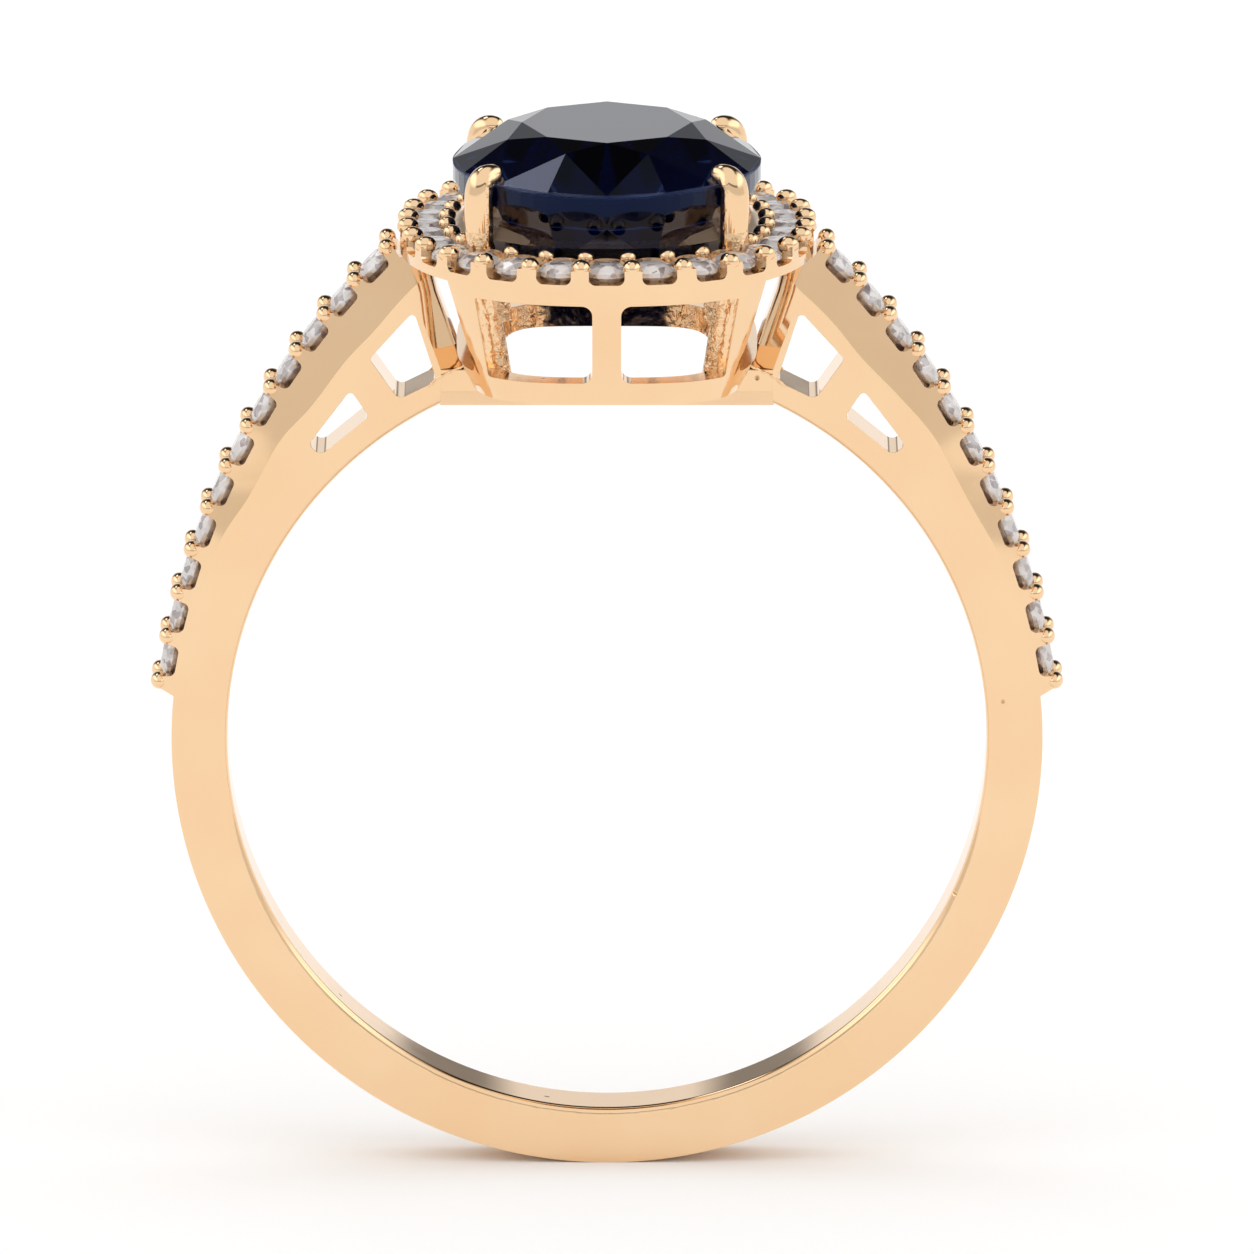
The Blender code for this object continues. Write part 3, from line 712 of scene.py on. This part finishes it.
def plate_ring(side, end, height):
    return [(*on_halo(k / 8, side, end)[0], height) for k in range(PLATE_STEPS)]


PLATE_SECTION = [(*OUTER_EDGE, 11.84), (0.39, 0.39, 11.84), (0.39, 0.39, 11.66),
                 (-0.39, -0.39, 11.66), (-0.39, -0.39, 11.88), (-0.60, -0.78, 11.93),
                 (*INNER_EDGE, 12.01), (*INNER_EDGE, PLATE_UNDERSIDE)]
head = loft("head", [wall_ring(BASE_TOP), wall_ring(PLATE_UNDERSIDE)]
            + [plate_ring(*corner) for corner in PLATE_SECTION]
            + [wall_ring(PLATE_UNDERSIDE, BASKET_WALL), wall_ring(BASE_TOP, BASKET_WALL)],
            closed=True)
windows = []
for side in (-1, 1):
    outline = [(side * x, z) for x, z in rounded(WINDOW, WINDOW_ROUNDS)]
    windows.append(cut_plate("saw", outline, SAW_LENGTH))
cut_away(head, join("saw", windows))
cut_away(head, cut_plate("saw", rounded(SIDE_OPENING, [0.3, 0.3, 0, 0]), SAW_LENGTH,
                        along=(1, 0, 0)))

BURR = [(0.08, 11.0), (0.08, 11.32), (0.50, HALO_GIRDLE), (0.50, 12.5)]
SCALLOP = [(-0.40, 12.3), (-0.40, 11.52), (0.40, 11.52), (0.40, 12.3)]
seats = []
scallops = []
for number in range(HALO_STONES):
    point, outward = on_halo(number)
    seats.append(loft("burr", [[(*(point + Vector((math.cos(turn), math.sin(turn))) * radius),
                                 height) for turn in (math.tau * k / 24 for k in range(24))]
                               for radius, height in BURR]))
    cutter = cut_plate("file", rounded(SCALLOP, [0, 0.15, 0.15, 0]), SCALLOP_LENGTH)
    cutter.location = (*(point + outward * SCALLOP_REACH), 0)
    cutter.rotation_euler = (0, 0, math.atan2(outward.y, outward.x) + math.pi / 2)
    scallops.append(cutter)
cut_away(head, join("burr", seats))
cut_away(head, join("file", scallops))
clean(head)
soften(head, PLATE_EDGE_ROUND, wanted=lambda a, b: min(a.z, b.z) > PLATE_UNDERSIDE + 0.1)
soften(head, WALL_EDGE_ROUND, segments=3,
       wanted=lambda a, b: max(a.z, b.z) < PLATE_UNDERSIDE - 0.1)


def head_inside(metal, axes):
    """Rough on the faces that look at the middle, most of all near the corners."""
    x, y, _ = axes
    facing_x, facing_y, _ = metal.split(metal.node("ShaderNodeTexCoord", pick="Normal"))
    inward = x.sum("MULTIPLY", x, facing_x) + y.sum("MULTIPLY", y, facing_y)
    towards_corner = x.sum("ABSOLUTE", x).ramp(1.3, 2.6)
    return inward.ramp(-0.8, -1.4) * (0.15 + towards_corner * 0.85)


head.data.materials.append(gold("head_gold", cast=head_inside))
seat(head, "setting_gold", "gallery", "halo_seat")


# Beads of the halo: an outer and an inner ring, each bead shared by two stones. The
# claws take the place of four of the inner ones.
OUTER_BEAD_LINE = (0.44, 0.55)
OUTER_BEAD_HEIGHT = 11.86
OUTER_BEAD_SIZE = (0.25, 0.215, 0.20)
INNER_BEAD_LINE = (-0.45, -0.56)
INNER_BEAD_HEIGHT = 11.90
INNER_BEAD_SIZE = (0.20, 0.19, 0.17)
CLAW_BEADS = (3, 10, 17, 24)

beads = []
for number in range(HALO_STONES):
    point, outward = on_halo(number + 0.5, *OUTER_BEAD_LINE)
    away = Vector((*outward, 0))
    axes = (away, Vector((0, 0, 1)).cross(away), Vector((0, 0, 1)))
    beads.append(bead((*point, OUTER_BEAD_HEIGHT), axes, OUTER_BEAD_SIZE))
    if number not in CLAW_BEADS:
        point, _ = on_halo(number + 0.5, *INNER_BEAD_LINE)
        beads.append(bead((*point, INNER_BEAD_HEIGHT), axes, INNER_BEAD_SIZE))
finish_beads("halo_beads", beads, "setting_gold")


# Claws: four round wires soldered inside the basket. They rise past the halo's inner
# edge and are bent over the stone; the sides towards the stone keep their cast skin.
CLAW_LINE = [(2.42, 3.00, 8.95, 0.27), (2.62, 3.03, 10.20, 0.27), (2.82, 3.06, 11.30, 0.29),
             (2.88, 3.07, 12.00, 0.32), (2.89, 3.07, 12.80, 0.335), (2.88, 3.06, 13.15, 0.335),
             (2.82, 3.02, 13.36, 0.325), (2.70, 2.94, 13.47, 0.29), (2.57, 2.87, 13.50, 0.25),
             (2.46, 2.80, 13.51, 0.20), (2.40, 2.77, 13.51, 0.13), (2.36, 2.75, 13.51, 0.03)]


def claw_inside(metal, axes):
    x, _, z = axes
    inner = x.sum("ABSOLUTE", x).ramp(2.74, 2.66) * z.ramp(13.55, 13.35)
    return inner.sum("MAXIMUM", inner, z.ramp(12.25, 12.05))


claw_gold = gold("claw_gold", cast=claw_inside)
for name, side, front in (("front_left", -1, -1), ("front_right", 1, -1),
                          ("back_left", -1, 1), ("back_right", 1, 1)):
    claw = draw_wire("claw_wire_" + name, [(side * x, front * y, z, radius)
                                           for x, y, z, radius in CLAW_LINE], order=4)
    bpy.ops.object.shade_smooth()
    claw.data.materials.append(claw_gold)
    seat(claw, "claw_gold", "claw_" + name)


# Small diamonds: round brilliants, cut once as a stone of radius one and set by size.
STONE_TABLE = 0.56
STONE_CROWN = 0.31
STONE_GIRDLE = 0.20
STONE_DEPTH = 0.84
STAR_TIP = 0.70
LOWER_TIP = 0.22


def rim(turn, radius, height):
    return Vector((radius * math.cos(turn), radius * math.sin(turn), height))


def grind(a, b, c):
    """Grind one facet through three points, keeping the side with the stone's middle."""
    normal = (b - a).cross(c - a).normalized()
    if normal.dot(a) < 0:
        normal = -normal
    bpy.ops.mesh.select_all(action="SELECT")
    bpy.ops.mesh.bisect(plane_co=a, plane_no=normal, use_fill=True, clear_outer=True,
                        threshold=0.0004)


bpy.ops.object.select_all(action="DESELECT")
bpy.ops.mesh.primitive_cylinder_add(vertices=32, radius=1, depth=2.4)
rough_stone = bpy.context.object
edit(rough_stone)
step = math.radians(22.5)
star_height = STONE_CROWN * (1 - STAR_TIP * math.cos(step)) / (1 - STONE_TABLE)
lower_height = -STONE_GIRDLE - STONE_DEPTH * (1 - LOWER_TIP * math.cos(step))
culet = Vector((0, 0, -STONE_GIRDLE - STONE_DEPTH))
grind(rim(0, 1, STONE_CROWN), rim(2, 1, STONE_CROWN), rim(4, 1, STONE_CROWN))
for k in range(0, 16, 2):
    turn = step * k
    flat = rim(turn + math.pi / 2, 1, 0)
    corner = rim(turn, STONE_TABLE, STONE_CROWN)
    star = rim(turn + step, STAR_TIP, star_height)
    lower = rim(turn + step, LOWER_TIP, lower_height)
    foot = rim(turn, 1, -STONE_GIRDLE)
    grind(corner, rim(turn, 1, 0), rim(turn, 1, 0) + flat)
    grind(corner, rim(turn + 2 * step, STONE_TABLE, STONE_CROWN), star)
    grind(culet, foot, foot + flat)
    for near in (turn, turn + step):
        grind(star, rim(near, 1, 0), rim(near + step, 1, 0))
        grind(lower, rim(near, 1, -STONE_GIRDLE), rim(near + step, 1, -STONE_GIRDLE))
bpy.ops.object.mode_set(mode="OBJECT")


# The small stones' sparkle is painted: a cell pattern mixes a dark and a white base colour, as
# painted shade and painted glints in place of light from the facets.
diamond = Finish.material("small_diamond")
DIAMOND_PAINTED_SHADE = (0.42, 0.36, 0.37, 1)
DIAMOND_PAINTED_GLINT = (1.0, 0.97, 0.96, 1)

place = diamond.node("ShaderNodeTexCoord", pick="Object")
painted_glint_cells = diamond.node("ShaderNodeTexVoronoi", Vector=place, Scale=6500.0, pick="Color")
painted_glint, _, _ = diamond.split(painted_glint_cells)
diamond.principled(Roughness=0.0, IOR=2.42, Transmission_Weight=0.45, Base_Color=diamond.node(
    "ShaderNodeMix", {"data_type": "RGBA"}, pick=2, _0=painted_glint.ramp(0.10, 0.55),
    _6=DIAMOND_PAINTED_SHADE, _7=DIAMOND_PAINTED_GLINT))


HALO_STONE_SINK = 0.03
HALO_SPIN = 0.7
ROW_SPIN = 0.9


def set_diamond(name, node, place, axis, spin):
    stone = bpy.data.objects.new(name, rough_stone.data.copy())
    bpy.context.collection.objects.link(stone)
    turn = Vector((0, 0, 1)).rotation_difference(axis).to_matrix()
    stone.matrix_world = (Matrix.Translation(place) @ turn.to_4x4()
                          @ Matrix.Rotation(spin, 4, "Z")
                          @ Matrix.Diagonal((SMALL_STONE_RADIUS,) * 3 + (1,)))
    activate(stone)
    bpy.ops.object.transform_apply(location=True, rotation=True, scale=True)
    stone.data.materials.clear()
    stone.data.materials.append(diamond.skin)
    seat(stone, "small_diamond", node)


for number in range(HALO_STONES):
    point, _ = on_halo(number)
    set_diamond(f"halo_brilliant_{number + 1:02d}", f"halo_diamond_{number + 1:02d}",
                (*point, HALO_GIRDLE - HALO_STONE_SINK), Vector((0, 0, 1)), number * HALO_SPIN)
for word, side in (("left", -1), ("right", 1)):
    for number in range(ROW_STONES):
        point = on_row(number + 0.5, ROW_STONE_SINK)
        outward = row_outward(number + 0.5)
        set_diamond(f"{word}_shoulder_brilliant_{number + 1:02d}",
                    f"{word}_shoulder_diamond_{number + 1:02d}",
                    (side * point.x, 0, point.y), Vector((side * outward.x, 0, outward.y)),
                    number * ROW_SPIN)
bpy.data.objects.remove(rough_stone, do_unlink=True)


# Centre stone: the CAD solid carries every facet of the oval cut, so it stays. It is so
# deep a blue that little light comes back. The girdle is left ground, not polished.
NAVY_DARK = (0.0001, 0.0004, 0.006, 1)
NAVY_LIGHT = (0.0002, 0.001, 0.014, 1)
GIRDLE_GREY = (0.25, 0.29, 0.36, 1)
GIRDLE_FOOT = (0.01324, 0.01327)
GIRDLE_TOP = (0.01334, 0.01332)

sapphire = Finish.material("blue_stone")
place = sapphire.node("ShaderNodeTexCoord", pick="Object")
_, _, height = sapphire.split(place)
cloud = sapphire.node("ShaderNodeTexNoise", Vector=place, Scale=300.0, Detail=2.0)
deep = sapphire.node("ShaderNodeMix", {"data_type": "RGBA"}, pick=2, _0=cloud.ramp(0.3, 0.7),
                     _6=NAVY_DARK, _7=NAVY_LIGHT)
ground = height.ramp(*GIRDLE_FOOT) * height.ramp(*GIRDLE_TOP)
sapphire.principled(IOR=1.50, Transmission_Weight=1.0, Roughness=ground * 0.4,
                    Specular_Tint=(0.22, 0.34, 0.85, 1),
                    Base_Color=sapphire.node("ShaderNodeMix", {"data_type": "RGBA"}, pick=2,
                                             _0=ground, _6=deep, _7=GIRDLE_GREY))
centre_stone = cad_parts["center_sapphire"]
centre_stone.data.materials.clear()
centre_stone.data.materials.append(sapphire.skin)
